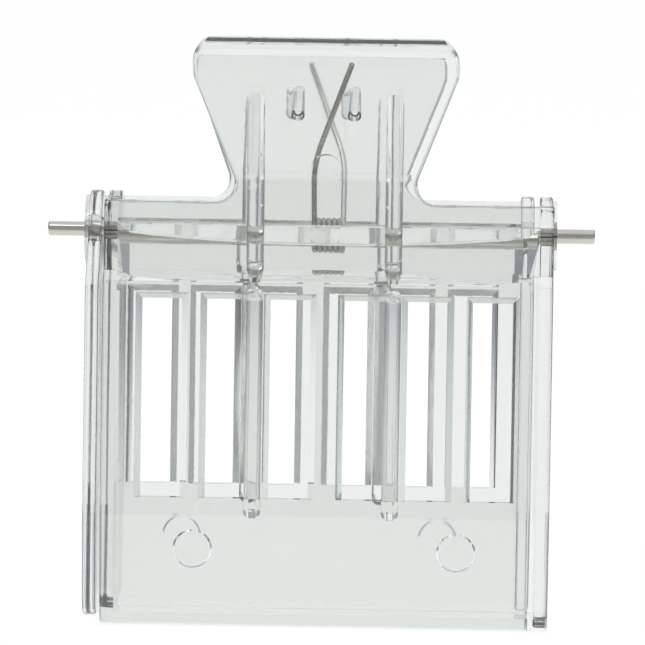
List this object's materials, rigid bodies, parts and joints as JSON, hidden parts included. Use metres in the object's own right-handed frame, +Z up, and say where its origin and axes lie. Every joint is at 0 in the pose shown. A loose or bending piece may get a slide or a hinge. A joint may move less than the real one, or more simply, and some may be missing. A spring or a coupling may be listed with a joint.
{
  "type": "queen cage",
  "caption": "Clear plastic spring-clip queen cage with slotted sides, squeeze tabs, and a steel hinge pin whose free ends hang it in a hive.",
  "frame": {"origin": "middle of the cage's floor, straight below the middle of the hinge pin", "axes": "+Z up through the finger tabs, X along the hinge pin, the front shell faces -Y"},
  "size_m": [0.0612, 0.0348, 0.0654],
  "materials": {
    "clear_plastic": "clear moulded polystyrene, gloss",
    "pin_steel": "drawn nickel-plated steel rod",
    "spring_steel": "bright spring wire"
  },
  "bodies": {
    "front_half": {"front_shell": "clear_plastic", "hinge_pin": "pin_steel", "torsion_spring": "spring_steel"},
    "back_half": {"back_shell": "clear_plastic"}
  },
  "joints": [
    {"name": "jaw_hinge", "type": "hinge", "parent": "front_half", "child": "back_half", "pos_m": [0, 0, 0.0437], "axis": [1, 0, 0], "range_deg": [0, 46], "stiffness_Nm_per_rad": 0.07, "springref_deg": -34.38, "deforming": ["torsion_spring"]}
  ]
}
